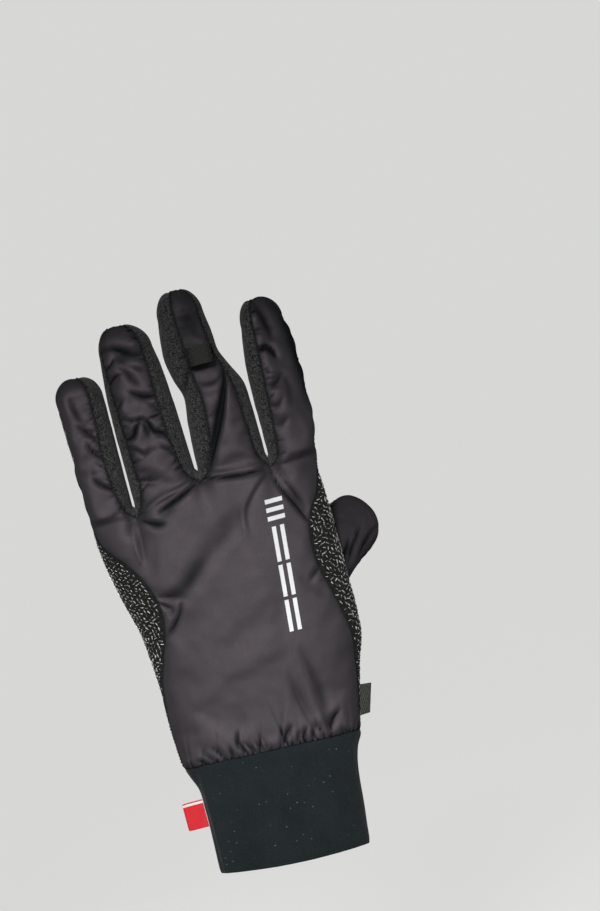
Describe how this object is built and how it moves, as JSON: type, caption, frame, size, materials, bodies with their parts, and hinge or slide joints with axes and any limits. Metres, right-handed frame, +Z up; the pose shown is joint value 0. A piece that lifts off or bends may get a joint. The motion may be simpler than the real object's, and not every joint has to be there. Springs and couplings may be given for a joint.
{
  "type": "windproof glove",
  "caption": "Insulated windproof glove for the left hand: padded back, grip palm, fleece finger sides, thumb and knitted cuff, hanging fingers up from its finger loop.",
  "frame": {"origin": "inside the hang loop on the middle finger, where what holds the glove up passes through", "axes": "+Z up along the hand towards the fingertips, -Y out of the back of the hand, +X towards the thumb side"},
  "size_m": [0.1265, 0.0855, 0.2658],
  "materials": {
    "nylon": "satin padded nylon shell",
    "grip": "matte knit with short raised pale dashes",
    "fleece": "matte heathered fleece",
    "knit": "matte fine stretch knit",
    "ribbon": "plain satin ribbon",
    "tape": "ribbed grosgrain tape"
  },
  "bodies": {
    "root": {"back_shell": "nylon", "palm": "grip", "fourchette_pinky_ring": "fleece", "fourchette_ring_middle": "fleece", "fourchette_middle_index": "fleece", "thumb_back": "nylon", "thumb_palm": "grip", "cuff": "knit", "cuff_label": "ribbon", "side_tab": "tape", "hang_loop": "tape"}
  },
  "joints": []
}
